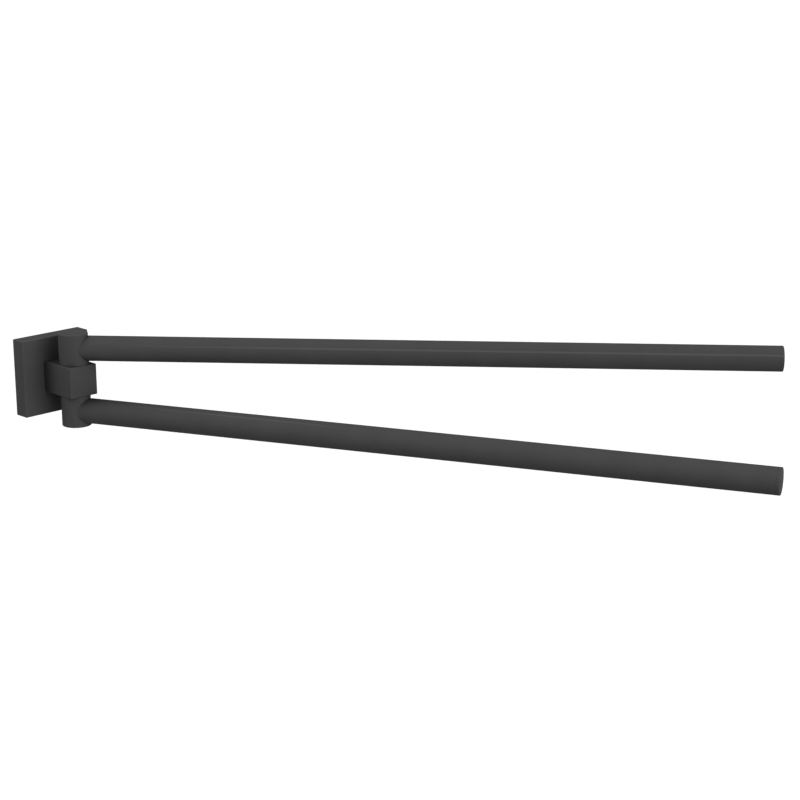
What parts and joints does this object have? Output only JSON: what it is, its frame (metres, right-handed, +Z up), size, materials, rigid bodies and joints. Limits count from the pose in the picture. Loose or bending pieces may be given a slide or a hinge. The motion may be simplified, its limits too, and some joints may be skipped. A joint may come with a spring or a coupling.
{
  "type": "towel rack",
  "caption": "Wall-mounted towel holder with a square cover plate, a square post and two round arms that swing one above and one below the post.",
  "frame": {"origin": "centre of the wall bracket's back face, on the wall plane", "axes": "+Z up, +Y into the wall, -Y out into the room, +X to the right along the wall as seen from the room"},
  "size_m": [0.324, 0.4382, 0.0604],
  "materials": {
    "black_finish": "matt black powder coat",
    "bright_steel": "turned stainless steel",
    "dark_steel": "black oxide steel",
    "cast_zinc": "as-cast grey zinc alloy",
    "bush_polymer": "black acetal"
  },
  "bodies": {
    "wall_mount": {"wall_plate": "black_finish", "wall_bracket": "cast_zinc", "plate_grub_screw": "bright_steel", "post_block": "black_finish", "post_screw": "bright_steel", "post_dowel": "bright_steel", "pivot_pin": "bright_steel", "pin_grub_screw": "dark_steel", "upper_retaining_washer": "bright_steel", "upper_retaining_screw": "dark_steel", "lower_retaining_washer": "bright_steel", "lower_retaining_screw": "dark_steel"},
    "upper_arm": {"upper_hub": "black_finish", "upper_bushing": "bush_polymer", "upper_wave_washer": "bright_steel", "upper_hub_cap": "black_finish", "upper_arm_spigot": "bright_steel", "upper_arm_tube": "black_finish", "upper_end_cap": "black_finish"},
    "lower_arm": {"lower_hub": "black_finish", "lower_bushing": "bush_polymer", "lower_wave_washer": "bright_steel", "lower_hub_cap": "black_finish", "lower_arm_spigot": "bright_steel", "lower_arm_tube": "black_finish", "lower_end_cap": "black_finish"}
  },
  "joints": [
    {"name": "upper_arm_swing", "type": "hinge", "parent": "wall_mount", "child": "upper_arm", "pos_m": [0, -0.03005, 0.0202], "axis": [0, 0, 1], "range_deg": [-131.16, 48.84]},
    {"name": "lower_arm_swing", "type": "hinge", "parent": "wall_mount", "child": "lower_arm", "pos_m": [0, -0.03005, -0.0202], "axis": [0, 0, 1], "range_deg": [-115.13, 64.87]}
  ]
}
